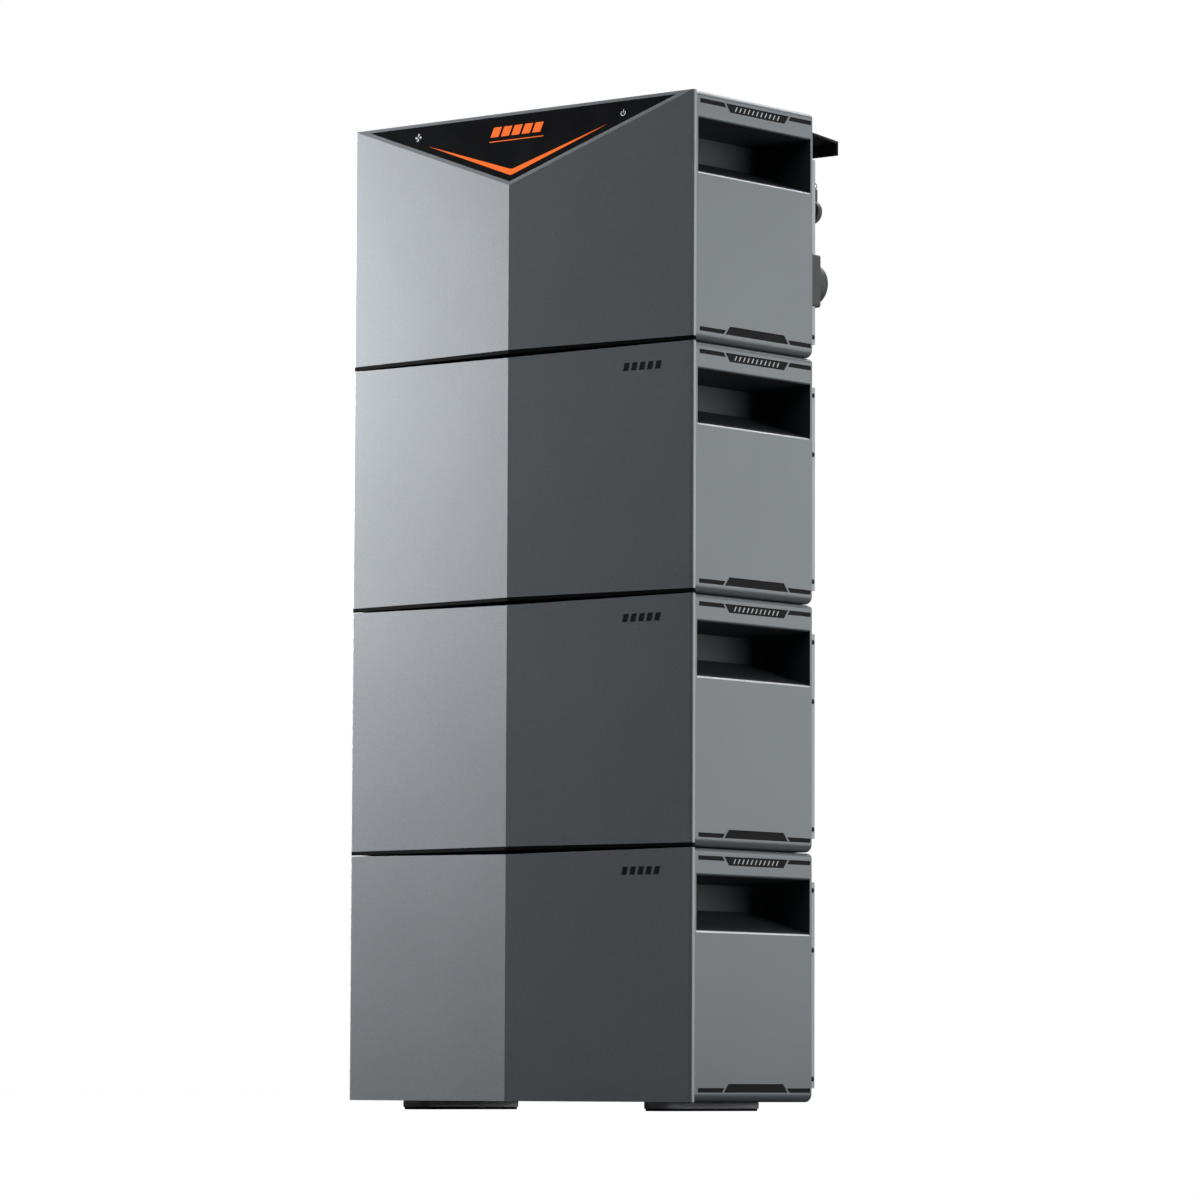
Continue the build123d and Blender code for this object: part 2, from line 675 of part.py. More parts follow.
def foot_plan(inset):
    """Round-ended outline of one foot bar."""
    slot = Rot(0, 0, 90) * SlotOverall(FOOT_LENGTH - 2 * inset, FOOT_WIDTH - 2 * inset)
    return Pos(FOOT_X, FOOT_START + FOOT_LENGTH / 2) * slot


def foot_bars():
    """Two bars under the lowest module."""
    return both_sides(along_z(foot_plan(0), (SOLE_THICK, FOOT_HEIGHT)))


def foot_soles():
    """Rubber soles under the bars."""
    return both_sides(along_z(foot_plan(SOLE_INSET), (0, SOLE_THICK)))


# ---- Assembly ----
def save(name, pieces, rise=0.0):
    """Write one node, lifted to its level in the stack."""
    pieces = pieces if isinstance(pieces, list) else [pieces]
    solids = [solid for piece in pieces for solid in (Pos(0, 0, rise) * piece).solids()]
    export_step(Compound(children=solids), f"parts/{name}.step")


def save_case(prefix, rise):
    """Pieces that the battery modules and the head share."""
    right, left = both_sides(side_shell())
    save(prefix + "_side_right", right, rise)
    save(prefix + "_side_left", left, rise)
    save(prefix + "_side_inlays", side_inlays(rise))
    save(prefix + "_floor_plate", floor_plate(), rise)
    save(prefix + "_stack_socket", stack_socket(), rise)


def save_battery(prefix, rise):
    """One battery module."""
    save_case(prefix, rise)
    save(prefix + "_front_cover", battery_cover(), rise)
    save(prefix + "_deck_plate", deck_plate(), rise)
    save(prefix + "_stack_plug", stack_plug(), rise)
    save(prefix + "_rear_cover", rear_cover(REAR_TOP, BATTERY_SCREW_HEIGHTS), rise)
    save(prefix + "_rear_screws", cover_screws(BATTERY_SCREW_HEIGHTS, rise))
    save(prefix + "_cells", cells(rise))
    save(prefix + "_busbars", busbars(rise))
    save(prefix + "_bms_board", bms_board(), rise)


def save_head(rise):
    """The inverter head."""
    save_case("head", rise)
    save("head_front_cover", head_cover(), rise)
    save("head_touch_panel", touch_panel(), rise)
    save("head_top_cover", roof_plate(COVER_HEIGHT - HEAD_REAR_TOP + SHEET), rise)
    save("head_rear_cover", head_rear_cover(), rise)
    save("head_rear_screws", cover_screws(HEAD_SCREW_HEIGHTS, rise))
    save("head_inverter_board", inverter_board(), rise)
    save("head_heat_sink", heat_sink(), rise)
    save("head_fans", fans(), rise)
    save("outlet_socket", outlet_socket(), rise)
    save("outlet_lid", outlet_lid(), rise)
    save("inlet_socket", inlet_socket(), rise)
    save("inlet_cap", inlet_cap(), rise)
    pins = [
        hinge_pin(OUTLET_X, KNUCKLE_WIDTH, EAR_WIDTH, OUTLET_HINGE),
        hinge_pin(INLET_X, INLET_KNUCKLE_WIDTH, INLET_EAR_WIDTH, INLET_HINGE),
    ]
    save("hinge_pins", pins, rise)
    save("wall_bracket", wall_bracket(), rise)


os.makedirs("parts", exist_ok=True)
for module in range(3):
    save_battery(f"battery{module + 1}", FOOT_HEIGHT + module * PITCH)
save_head(FOOT_HEIGHT + 3 * PITCH)
save("foot_bars", foot_bars())
save("foot_soles", foot_soles())
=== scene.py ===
import bpy
import bmesh
import json
import math
from mathutils import Matrix, Vector

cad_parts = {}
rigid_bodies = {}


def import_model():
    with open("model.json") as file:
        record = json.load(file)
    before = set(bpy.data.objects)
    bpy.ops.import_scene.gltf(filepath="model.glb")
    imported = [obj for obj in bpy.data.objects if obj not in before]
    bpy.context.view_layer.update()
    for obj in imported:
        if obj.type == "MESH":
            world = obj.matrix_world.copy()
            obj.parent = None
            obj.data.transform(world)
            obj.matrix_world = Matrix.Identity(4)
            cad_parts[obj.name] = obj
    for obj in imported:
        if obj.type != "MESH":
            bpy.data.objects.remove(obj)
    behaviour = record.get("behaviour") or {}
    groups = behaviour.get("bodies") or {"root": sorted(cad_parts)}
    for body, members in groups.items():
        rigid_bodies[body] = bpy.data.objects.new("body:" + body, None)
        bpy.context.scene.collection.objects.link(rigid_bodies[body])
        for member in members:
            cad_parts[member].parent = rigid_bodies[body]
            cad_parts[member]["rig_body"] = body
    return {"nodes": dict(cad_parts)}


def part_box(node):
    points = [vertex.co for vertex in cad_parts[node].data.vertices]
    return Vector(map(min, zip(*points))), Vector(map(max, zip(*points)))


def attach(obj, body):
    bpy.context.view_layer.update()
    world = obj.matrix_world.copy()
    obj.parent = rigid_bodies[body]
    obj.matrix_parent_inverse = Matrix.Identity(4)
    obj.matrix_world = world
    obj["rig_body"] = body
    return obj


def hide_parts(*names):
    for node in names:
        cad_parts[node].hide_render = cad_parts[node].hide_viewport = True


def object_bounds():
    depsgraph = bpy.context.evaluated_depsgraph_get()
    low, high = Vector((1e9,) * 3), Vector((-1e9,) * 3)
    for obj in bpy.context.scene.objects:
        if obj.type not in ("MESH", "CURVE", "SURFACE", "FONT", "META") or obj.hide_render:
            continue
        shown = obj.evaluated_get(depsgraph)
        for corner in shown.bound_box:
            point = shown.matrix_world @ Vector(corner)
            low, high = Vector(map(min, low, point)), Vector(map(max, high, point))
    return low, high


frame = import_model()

cad_low, cad_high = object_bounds()

# ---- Viewpoint ----
# A long lens stands low in front of the unit and to the right of it, and looks up a little.
# Both facets of the front, the right side and the undersides of the modules' edges show.
ridge_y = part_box("battery1_front_cover")[0].y
lens_turn, lens_rise, lens_roll = (math.radians(angle) for angle in (39.0726, 4.6333, 0.2195))
level_right = Vector((math.cos(lens_turn), math.sin(lens_turn), 0))
ahead = Vector((
    -math.sin(lens_turn) * math.cos(lens_rise),
    math.cos(lens_turn) * math.cos(lens_rise),
    math.sin(lens_rise),
))
level_up = level_right.cross(ahead)
rolled_right = level_right * math.cos(lens_roll) + level_up * math.sin(lens_roll)
rolled_up = level_up * math.cos(lens_roll) - level_right * math.sin(lens_roll)
lens = bpy.data.cameras.new("long lens")
lens.sensor_width = 36.0
lens.lens = 178.95
lens.clip_start = 0.1
lens.clip_end = 60.0
lens_place = (4.2190, ridge_y - 5.0334, 0.0298)
viewer = bpy.data.objects.new("viewer", lens)
bpy.context.scene.collection.objects.link(viewer)
viewer.matrix_world = Matrix.Translation(lens_place) @ Matrix(
    (rolled_right, rolled_up, -ahead)
).transposed().to_4x4()
bpy.context.scene.camera = viewer

# ---- Studio floor ----
# A wide pale floor of painted board stands under the feet. It throws back little light, so
# that the undersides of the modules stay dark.
floor_gap = 0.0003
floor_form = bmesh.new()
bmesh.ops.create_grid(floor_form, x_segments=8, y_segments=8, size=14.0)
floor_mesh = bpy.data.meshes.new("studio floor")
floor_form.to_mesh(floor_mesh)
floor_form.free()
floor_mesh.transform(Matrix.Translation((0, 0, cad_low.z - floor_gap)))
studio_floor = bpy.data.objects.new("studio_floor", floor_mesh)
bpy.context.scene.collection.objects.link(studio_floor)
floor_paint = bpy.data.materials.new("pale floor")
floor_paint.use_nodes = True
floor_nodes, floor_links = floor_paint.node_tree.nodes, floor_paint.node_tree.links
floor_nodes.clear()
floor_end = floor_nodes.new("ShaderNodeOutputMaterial")
floor_choice = floor_nodes.new("ShaderNodeMixShader")
floor_ray = floor_nodes.new("ShaderNodeLightPath")
floor_seen = floor_nodes.new("ShaderNodeMixShader")
floor_seen.inputs["Fac"].default_value = 0.1
floor_white = floor_nodes.new("ShaderNodeEmission")
floor_white.inputs["Color"].default_value = (1.0, 1.0, 1.0, 1.0)
floor_white.inputs["Strength"].default_value = 1.1
floor_matt = floor_nodes.new("ShaderNodeBsdfDiffuse")
floor_matt.inputs["Color"].default_value = (0.8, 0.8, 0.8, 1.0)
floor_dim = floor_nodes.new("ShaderNodeBsdfDiffuse")
floor_dim.inputs["Color"].default_value = (0.12, 0.12, 0.125, 1.0)
floor_links.new(floor_white.outputs[0], floor_seen.inputs[1])
floor_links.new(floor_matt.outputs[0], floor_seen.inputs[2])
floor_links.new(floor_ray.outputs["Is Camera Ray"], floor_choice.inputs["Fac"])
floor_links.new(floor_dim.outputs[0], floor_choice.inputs[1])
floor_links.new(floor_seen.outputs[0], floor_choice.inputs[2])
floor_links.new(floor_choice.outputs[0], floor_end.inputs["Surface"])
floor_mesh.materials.append(floor_paint)

# ---- Studio light ----
# Soft panels stand round the unit. The one on the left grazes the front, so the left facet
# is pale and the right one dark; the one behind on the right shows in the right side.
room = bpy.data.worlds.new("pale room")
bpy.context.scene.world = room
room.use_nodes = True
room_nodes, room_links = room.node_tree.nodes, room.node_tree.links
room_nodes.clear()
room_end = room_nodes.new("ShaderNodeOutputWorld")
room_choice = room_nodes.new("ShaderNodeMixShader")
room_ray = room_nodes.new("ShaderNodeLightPath")
room_seen = room_nodes.new("ShaderNodeBackground")
room_seen.inputs["Color"].default_value = (1.0, 1.0, 1.0, 1.0)
room_dim = room_nodes.new("ShaderNodeBackground")
room_dim.inputs["Color"].default_value = (0.83, 0.93, 1.12, 1.0)
room_dim.inputs["Strength"].default_value = 0.052
room_links.new(room_ray.outputs["Is Camera Ray"], room_choice.inputs["Fac"])
room_links.new(room_dim.outputs[0], room_choice.inputs[1])
room_links.new(room_seen.outputs[0], room_choice.inputs[2])
room_links.new(room_choice.outputs[0], room_end.inputs["Surface"])


def soft_panel(name, place, aim, width, height, power, tint=(1.0, 1.0, 1.0)):
    """One rectangular light, turned to face a point."""
    painted_glow = bpy.data.lights.new(name, "AREA")
    painted_glow.shape = "RECTANGLE"
    painted_glow.size = width
    painted_glow.size_y = height
    painted_glow.energy = power
    painted_glow.color = tint
    panel = bpy.data.objects.new(name, painted_glow)
    bpy.context.scene.collection.objects.link(panel)
    facing = Vector(aim) - Vector(place)
    panel.matrix_world = Matrix.Translation(place) @ facing.to_track_quat("-Z", "Y").to_matrix().to_4x4()
    panel.visible_camera = False


soft_panel("left_panel", (-1.95, -0.33, 1.13), (-0.1, -0.13, 0.6), 0.4, 0.8, 55, (0.97, 0.985, 1.0))
soft_panel("right_back_panel", (2.1, 2.0, 0.36), (0.24, 0.0, 0.42), 2.8, 3.0, 63, (0.98, 1.0, 1.0))
soft_panel("front_panel", (1.2, -2.6, 2.4), (0.0, 0.0, 1.0), 1.2, 1.2, 6)
soft_panel("back_top_panel", (0.0, 2.6, 3.0), (0.2, 0.0, 0.9), 1.6, 0.9, 30)
soft_panel("top_panel", (0.3, 0.1, 2.7), (0.0, 0.0, 1.0), 1.4, 1.0, 26)
soft_panel("left_back_panel", (-2.2, 1.9, 1.4), (0.0, 0.0, 0.5), 1.4, 1.6, 9)
bpy.context.scene.view_settings.view_transform = "Standard"

# ---- Floor plates ----
# Each module stands on a folded steel plate with two ribs for the cells. It is cut, folded
# and coated dark, and the four studs of the deck below come up into its holes.


def coat_grain_group():
    """Powder coat: a fine pebbled skin with pale and dark flecks, and paler rubbed edges."""
    group = bpy.data.node_groups.new("powder coat grain", "ShaderNodeTree")
    face = group.interface
    for label, kind, start in (
        ("Coat", "NodeSocketColor", (0.3, 0.3, 0.3, 1.0)),
        ("Rubbed Edge", "NodeSocketColor", (0.6, 0.6, 0.6, 1.0)),
        ("Grain Size", "NodeSocketFloat", 0.0009),
        ("Flecks", "NodeSocketFloat", 0.1),
        ("Edge Reach", "NodeSocketFloat", 0.0012),
        ("Edge Wear", "NodeSocketFloat", 0.4),
        ("Smoothness Low", "NodeSocketFloat", 0.36),
        ("Smoothness High", "NodeSocketFloat", 0.46),
    ):
        socket = face.new_socket(name=label, in_out="INPUT", socket_type=kind)
        socket.default_value = start
    face.new_socket(name="Colour", in_out="OUTPUT", socket_type="NodeSocketColor")
    face.new_socket(name="Roughness", in_out="OUTPUT", socket_type="NodeSocketFloat")
    face.new_socket(name="Height", in_out="OUTPUT", socket_type="NodeSocketFloat")
    nodes, links = group.nodes, group.links
    given = nodes.new("NodeGroupInput")
    out = nodes.new("NodeGroupOutput")
    place = nodes.new("ShaderNodeTexCoord")
    count = nodes.new("ShaderNodeMath")
    count.operation = "DIVIDE"
    count.inputs[0].default_value = 1.0
    links.new(given.outputs["Grain Size"], count.inputs[1])
    pebble = nodes.new("ShaderNodeTexNoise")
    pebble.inputs["Detail"].default_value = 2.0
    links.new(place.outputs["Object"], pebble.inputs["Vector"])
    links.new(count.outputs[0], pebble.inputs["Scale"])
    cloud = nodes.new("ShaderNodeTexNoise")
    cloud.inputs["Scale"].default_value = 7.0
    cloud.inputs["Detail"].default_value = 3.0
    links.new(place.outputs["Object"], cloud.inputs["Vector"])
    spread = nodes.new("ShaderNodeMath")
    spread.operation = "SUBTRACT"
    spread.inputs[1].default_value = 0.5
    links.new(pebble.outputs["Fac"], spread.inputs[0])
    fleck = nodes.new("ShaderNodeMath")
    fleck.operation = "MULTIPLY_ADD"
    fleck.inputs[2].default_value = 1.0
    links.new(spread.outputs[0], fleck.inputs[0])
    links.new(given.outputs["Flecks"], fleck.inputs[1])
    drift = nodes.new("ShaderNodeMapRange")
    drift.inputs["From Min"].default_value = 0.3
    drift.inputs["From Max"].default_value = 0.7
    drift.inputs["To Min"].default_value = 0.97
    drift.inputs["To Max"].default_value = 1.03
    links.new(cloud.outputs["Fac"], drift.inputs["Value"])
    both = nodes.new("ShaderNodeMath")
    both.operation = "MULTIPLY"
    links.new(fleck.outputs[0], both.inputs[0])
    links.new(drift.outputs[0], both.inputs[1])
    tinted = nodes.new("ShaderNodeVectorMath")
    tinted.operation = "SCALE"
    links.new(given.outputs["Coat"], tinted.inputs[0])
    links.new(both.outputs[0], tinted.inputs["Scale"])
    rounded = nodes.new("ShaderNodeBevel")
    rounded.samples = 4
    links.new(given.outputs["Edge Reach"], rounded.inputs["Radius"])
    true_face = nodes.new("ShaderNodeNewGeometry")
    same = nodes.new("ShaderNodeVectorMath")
    same.operation = "DOT_PRODUCT"
    links.new(rounded.outputs[0], same.inputs[0])
    links.new(true_face.outputs["Normal"], same.inputs[1])
    edge = nodes.new("ShaderNodeMapRange")
    edge.inputs["From Min"].default_value = 0.99
    edge.inputs["From Max"].default_value = 0.75
    edge.inputs["To Min"].default_value = 0.0
    links.new(same.outputs["Value"], edge.inputs["Value"])
    links.new(given.outputs["Edge Wear"], edge.inputs["To Max"])
    patch = nodes.new("ShaderNodeMapRange")
    patch.inputs["From Min"].default_value = 0.35
    patch.inputs["From Max"].default_value = 0.65
    patch.inputs["To Min"].default_value = 0.35
    links.new(cloud.outputs["Fac"], patch.inputs["Value"])
    rubbed = nodes.new("ShaderNodeMath")
    rubbed.operation = "MULTIPLY"
    links.new(edge.outputs[0], rubbed.inputs[0])
    links.new(patch.outputs[0], rubbed.inputs[1])
    colour = nodes.new("ShaderNodeMix")
    colour.data_type = "RGBA"
    links.new(rubbed.outputs[0], colour.inputs["Factor"])
    links.new(tinted.outputs[0], colour.inputs[6])
    links.new(given.outputs["Rubbed Edge"], colour.inputs[7])
    links.new(colour.outputs[2], out.inputs["Colour"])
    gloss = nodes.new("ShaderNodeMapRange")
    links.new(pebble.outputs["Fac"], gloss.inputs["Value"])
    gloss.inputs["From Min"].default_value = 0.3
    gloss.inputs["From Max"].default_value = 0.7
    links.new(given.outputs["Smoothness Low"], gloss.inputs["To Min"])
    links.new(given.outputs["Smoothness High"], gloss.inputs["To Max"])
    links.new(gloss.outputs[0], out.inputs["Roughness"])
    links.new(pebble.outputs["Fac"], out.inputs["Height"])
    return group


coat_grain = coat_grain_group()


def powder_coat(name, coat, rubbed, metallic, rough, flecks=0.12, grain=0.0009, wear=0.4, sheen=0.5):
    """A powder-coated metal, or a moulded plastic with the same pebbled skin."""
    paint = bpy.data.materials.new(name)
    paint.use_nodes = True
    nodes, links = paint.node_tree.nodes, paint.node_tree.links
    shader = nodes["Principled BSDF"]
    shader.inputs["Metallic"].default_value = metallic
    shader.inputs["Specular IOR Level"].default_value = sheen
    grainy = nodes.new("ShaderNodeGroup")
    grainy.node_tree = coat_grain
    grainy.inputs["Coat"].default_value = (*coat, 1.0)
    grainy.inputs["Rubbed Edge"].default_value = (*rubbed, 1.0)
    grainy.inputs["Grain Size"].default_value = grain
    grainy.inputs["Flecks"].default_value = flecks
    grainy.inputs["Edge Wear"].default_value = wear
    grainy.inputs["Smoothness Low"].default_value = rough - 0.05
    grainy.inputs["Smoothness High"].default_value = rough + 0.05
    relief = nodes.new("ShaderNodeBump")
    relief.inputs["Strength"].default_value = 1.0
    relief.inputs["Distance"].default_value = 0.00003
    links.new(grainy.outputs["Colour"], shader.inputs["Base Color"])
    links.new(grainy.outputs["Roughness"], shader.inputs["Roughness"])
    links.new(grainy.outputs["Height"], relief.inputs["Height"])
    links.new(relief.outputs["Normal"], shader.inputs["Normal"])
    return paint


def clad(node, finish):
    """Puts a finish on a piece that keeps the shape it was drawn with."""
    held = frame["nodes"][node]
    if held.material_slots:
        for place in held.material_slots:
            place.material = finish
    else:
        held.data.materials.append(finish)


module_names = ("battery1", "battery2", "battery3", "head")
battery_names = module_names[:3]
dark_steel = powder_coat("dark coated steel", (0.1, 0.11, 0.12), (0.35, 0.36, 0.37), 0.4, 0.55)
for module in module_names:
    clad(module + "_floor_plate", dark_steel)

# ---- Foot bars and soles ----
# Two moulded bars with round ends are screwed under the lowest floor plate, each on a thin
# sole of black rubber.


def softened(node, finish, edge, turn=30.0, shape=None):
    """The same piece as it leaves the shop: one welded skin, with its sharp edges eased."""
    drawn = frame["nodes"][node]
    mesh = drawn.data.copy()
    mesh.name = node + " eased"
    mesh.materials.clear()
    mesh.materials.append(finish)
    form = bmesh.new()
    form.from_mesh(mesh)
    bmesh.ops.remove_doubles(form, verts=form.verts, dist=0.000002)
    bmesh.ops.dissolve_limit(form, angle_limit=math.radians(0.5), verts=form.verts, edges=form.edges)
    if shape:
        shape(form)
    form.to_mesh(mesh)
    form.free()
    mesh.shade_smooth()
    mesh.set_sharp_from_angle(angle=math.radians(turn))
    piece = bpy.data.objects.new(node + "_eased", mesh)
    bpy.context.scene.collection.objects.link(piece)
    ease = piece.modifiers.new("eased edges", "BEVEL")
    ease.width = edge
    ease.segments = 2
    ease.limit_method = "ANGLE"
    ease.angle_limit = math.radians(turn)
    level = piece.modifiers.new("level faces", "WEIGHTED_NORMAL")
    level.weight = 100
    level.keep_sharp = True
    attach(piece, drawn["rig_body"])
    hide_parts(node)
    return piece


# The bars' coat is made pale so they show mid grey in the shade under the lowest module: this lift is
# painted light.
bar_coat_painted_fill = powder_coat("foot coat with painted fill light", (0.74, 0.76, 0.78), (0.78, 0.8, 0.8), 0.1, 0.5)
sole_black = powder_coat(
    "black sole rubber", (0.012, 0.012, 0.012), (0.03, 0.03, 0.03), 0.0, 0.75, 0.3, 0.0006, 0.1, sheen=0.2
)
softened("foot_bars", bar_coat_painted_fill, 0.0006)
softened("foot_soles", sole_black, 0.0003)

# ---- Decks, plugs and sockets ----
# A battery's deck is a steel plate with four studs that carry the module above. The plug
# stands up through it and enters the socket in that module's floor.
contact_black = powder_coat(
    "moulded contact black", (0.018, 0.018, 0.02), (0.05, 0.05, 0.05), 0.0, 0.5, 0.2, 0.0005, sheen=0.3
)
for module in battery_names:
    clad(module + "_deck_plate", dark_steel)
    clad(module + "_stack_plug", contact_black)
for module in module_names:
    clad(module + "_stack_socket", contact_black)

# ---- Cells, busbars and boards ----
# Each battery holds a row of blue-sleeved cells joined by bare copper bars, with a green
# board on posts above them. The head holds a power board on a finned aluminium sink.
cell_blue = powder_coat(
    "blue cell sleeve", (0.05, 0.16, 0.35), (0.12, 0.25, 0.45), 0.0, 0.35, 0.1, 0.0012, 0.3
)
board_green = powder_coat(
    "green board resist", (0.02, 0.12, 0.06), (0.5, 0.45, 0.3), 0.0, 0.3, 0.3, 0.002, 0.3
)


def drawn_metal(name, metal, rubbed, rough, stretch):
    """Bare metal with fine lines along one way, from the draw bench or the press."""
    bare = bpy.data.materials.new(name)
    bare.use_nodes = True
    nodes, links = bare.node_tree.nodes, bare.node_tree.links
    shader = nodes["Principled BSDF"]
    shader.inputs["Metallic"].default_value = 1.0
    place = nodes.new("ShaderNodeTexCoord")
    pull = nodes.new("ShaderNodeMapping")
    pull.inputs["Scale"].default_value = stretch
    lines = nodes.new("ShaderNodeTexNoise")
    lines.inputs["Scale"].default_value = 900.0
    lines.inputs["Detail"].default_value = 3.0
    tone = nodes.new("ShaderNodeMix")
    tone.data_type = "RGBA"
    tone.inputs[6].default_value = (*metal, 1.0)
    tone.inputs[7].default_value = (*rubbed, 1.0)
    gloss = nodes.new("ShaderNodeMapRange")
    gloss.inputs["To Min"].default_value = rough - 0.08
    gloss.inputs["To Max"].default_value = rough + 0.08
    relief = nodes.new("ShaderNodeBump")
    relief.inputs["Distance"].default_value = 0.00002
    links.new(place.outputs["Object"], pull.inputs["Vector"])
    links.new(pull.outputs["Vector"], lines.inputs["Vector"])
    links.new(lines.outputs["Fac"], tone.inputs["Factor"])
    links.new(lines.outputs["Fac"], gloss.inputs["Value"])
    links.new(lines.outputs["Fac"], relief.inputs["Height"])
    links.new(tone.outputs[2], shader.inputs["Base Color"])
    links.new(gloss.outputs[0], shader.inputs["Roughness"])
    links.new(relief.outputs["Normal"], shader.inputs["Normal"])
    return bare


bar_copper = drawn_metal("bare copper", (0.6, 0.3, 0.17), (0.85, 0.5, 0.32), 0.35, (0.05, 1.0, 1.0))
sink_metal = drawn_metal("extruded aluminium", (0.5, 0.51, 0.52), (0.72, 0.73, 0.74), 0.4, (1.0, 1.0, 0.05))
for module in battery_names:
    clad(module + "_cells", cell_blue)
    clad(module + "_busbars", bar_copper)
    clad(module + "_bms_board", board_green)
clad("head_inverter_board", board_green)
clad("head_heat_sink", sink_metal)

# ---- Side shells ----
# Each side is a pressed shell with a rounded top and bottom edge, coated in mid grey with a
# fine sparkle. The inside of the grip recess is coloured near black as painted shade, and its
# rolled sill is coloured pale as a painted highlight.
side_grey = powder_coat("side powder coat", (0.21, 0.228, 0.243), (0.6, 0.62, 0.64), 0.25, 0.42, 0.4, 0.0012)
# Near-black material for the inside of the grip recess: painted shade, not a colour of the shell.
recess_painted_shade = powder_coat(
    "painted shade in grip recess", (0.042, 0.049, 0.054), (0.07, 0.07, 0.08), 0.0, 0.5, 0.2, sheen=0.3
)
# Pale material for the rolled sill of the recess: a painted highlight.
sill_painted_highlight = powder_coat(
    "painted highlight on sill", (0.86, 0.88, 0.9), (0.95, 0.95, 0.96), 0.3, 0.3, 0.15, 0.0009, 0.2
)
recess_bottom, recess_top = 0.184, 0.2465
recess_front, recess_back = 0.0027, 0.003
mouth_margin = 0.0032
roll_bottom, roll_top, roll_width = 0.1822, 0.1849, 0.0019
for module in module_names:
    for hand in ("right", "left"):
        shell = softened(f"{module}_side_{hand}", side_grey, 0.0005)
        shell.data.materials.append(recess_painted_shade)
        shell.data.materials.append(sill_painted_highlight)
        low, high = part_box(f"{module}_side_{hand}")
        outer = max(abs(low.x), abs(high.x))
        for face in shell.data.polygons:
            middle = face.center
            height = middle.z - low.z
            within_height = recess_bottom < height < recess_top
            within_depth = low.y + recess_front < middle.y < high.y - recess_back
            inside = within_height and within_depth and abs(middle.x) < outer - mouth_margin
            hidden_back = face.normal.y > 0.5 and middle.y > (low.y + high.y) / 2
            on_roll = roll_bottom < height < roll_top and face.normal.z > 0.1
            # Faces inside the recess take the near-black painted shade.
            if inside and not hidden_back:
                face.material_index = 1
            # Faces on the rolled sill take the pale painted highlight.
            elif on_roll and abs(middle.x) > outer - roll_width:
                face.material_index = 2

# ---- Side inlays ----
# Black stripes lie in shallow grooves near the top and bottom of each side, broken by a
# trapezoid in the middle. A row of pale slashes is printed on the top trapezoid.
inlay_black = powder_coat(
    "black inlay", (0.009, 0.008, 0.008), (0.05, 0.05, 0.05), 0.0, 0.65, 0.15, 0.0005, 0.1, sheen=0.15
)
for module in module_names:
    softened(module + "_side_inlays", inlay_black, 0.00015)


def printed_ink(name, ink, painted_glow=0.0):
    """Screen-printed ink: thin, a little uneven where the mesh let it through. A glow above zero makes it
    emit, as painted light.
    """
    print_coat = bpy.data.materials.new(name)
    print_coat.use_nodes = True
    nodes, links = print_coat.node_tree.nodes, print_coat.node_tree.links
    shader = nodes["Principled BSDF"]
    shader.inputs["Roughness"].default_value = 0.5
    place = nodes.new("ShaderNodeTexCoord")
    mottle = nodes.new("ShaderNodeTexNoise")
    mottle.inputs["Scale"].default_value = 1500.0
    tone = nodes.new("ShaderNodeMix")
    tone.data_type = "RGBA"
    tone.inputs[6].default_value = (*(0.86 * part for part in ink), 1.0)
    tone.inputs[7].default_value = (*ink, 1.0)
    links.new(place.outputs["Object"], mottle.inputs["Vector"])
    links.new(mottle.outputs["Fac"], tone.inputs["Factor"])
    links.new(tone.outputs[2], shader.inputs["Base Color"])
    # The emission gives the print a painted glow.
    if painted_glow:
        links.new(tone.outputs[2], shader.inputs["Emission Color"])
        shader.inputs["Emission Strength"].default_value = painted_glow
    return print_coat


def laid_shapes(name, outlines, place_point, finish, thick):
    """Flat shapes laid on a surface: each outline becomes a thin closed plate."""
    form = bmesh.new()
    for outline in outlines:
        under = [form.verts.new(place_point(u, v, 0.0)) for u, v in outline]
        over = [form.verts.new(place_point(u, v, thick)) for u, v in outline]
        form.faces.new(over)
        form.faces.new(list(reversed(under)))
        count = len(outline)
        for i in range(count):
            j = (i + 1) % count
            form.faces.new((under[i], under[j], over[j], over[i]))
    bmesh.ops.recalc_face_normals(form, faces=form.faces)
    mesh = bpy.data.meshes.new(name)
    form.to_mesh(mesh)
    form.free()
    mesh.materials.append(finish)
    plate = bpy.data.objects.new(name, mesh)
    bpy.context.scene.collection.objects.link(plate)
    return plate


def slanting_bars(count, start, pitch, width, slant, foot, head):
    """Outlines of a row of like bars that lean over by the slant between foot and head."""
    bars = []
    for i in range(count):
        left = start + i * pitch
        bars.append((
            (left, foot), (left + width, foot), (left + width + slant, head), (left + slant, head),
        ))
    return bars


# The pale slashes are given a faint painted glow.
slash_ink = printed_ink("pale slash ink", (0.78, 0.8, 0.81), 0.12)
print_sink, print_thick = 0.00004, 0.00010
cover_return = 0.0055
slash_count, slash_pitch, slash_width, slash_slant = 11, 0.0076, 0.0018, 0.0032
slash_foot, slash_head = 0.0074, 0.0022
row_middle = 0.1144
row_length = (slash_count - 1) * slash_pitch + slash_width + slash_slant
for module in module_names:
    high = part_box(module + "_side_inlays")[1]
    front_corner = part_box(module + "_side_right")[0].y - cover_return
    slashes = slanting_bars(
        slash_count, front_corner + row_middle - row_length / 2, slash_pitch, slash_width, slash_slant,
        high.z - slash_foot, high.z - slash_head,
    )
    for hand, side in (("right", 1), ("left", -1)):
        outer = side * high.x
        row = laid_shapes(
            f"{module}_slashes_{hand}", slashes,
            lambda u, v, t: (outer + side * (t - print_sink), u, v),
            slash_ink, print_thick,
        )
        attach(row, module)

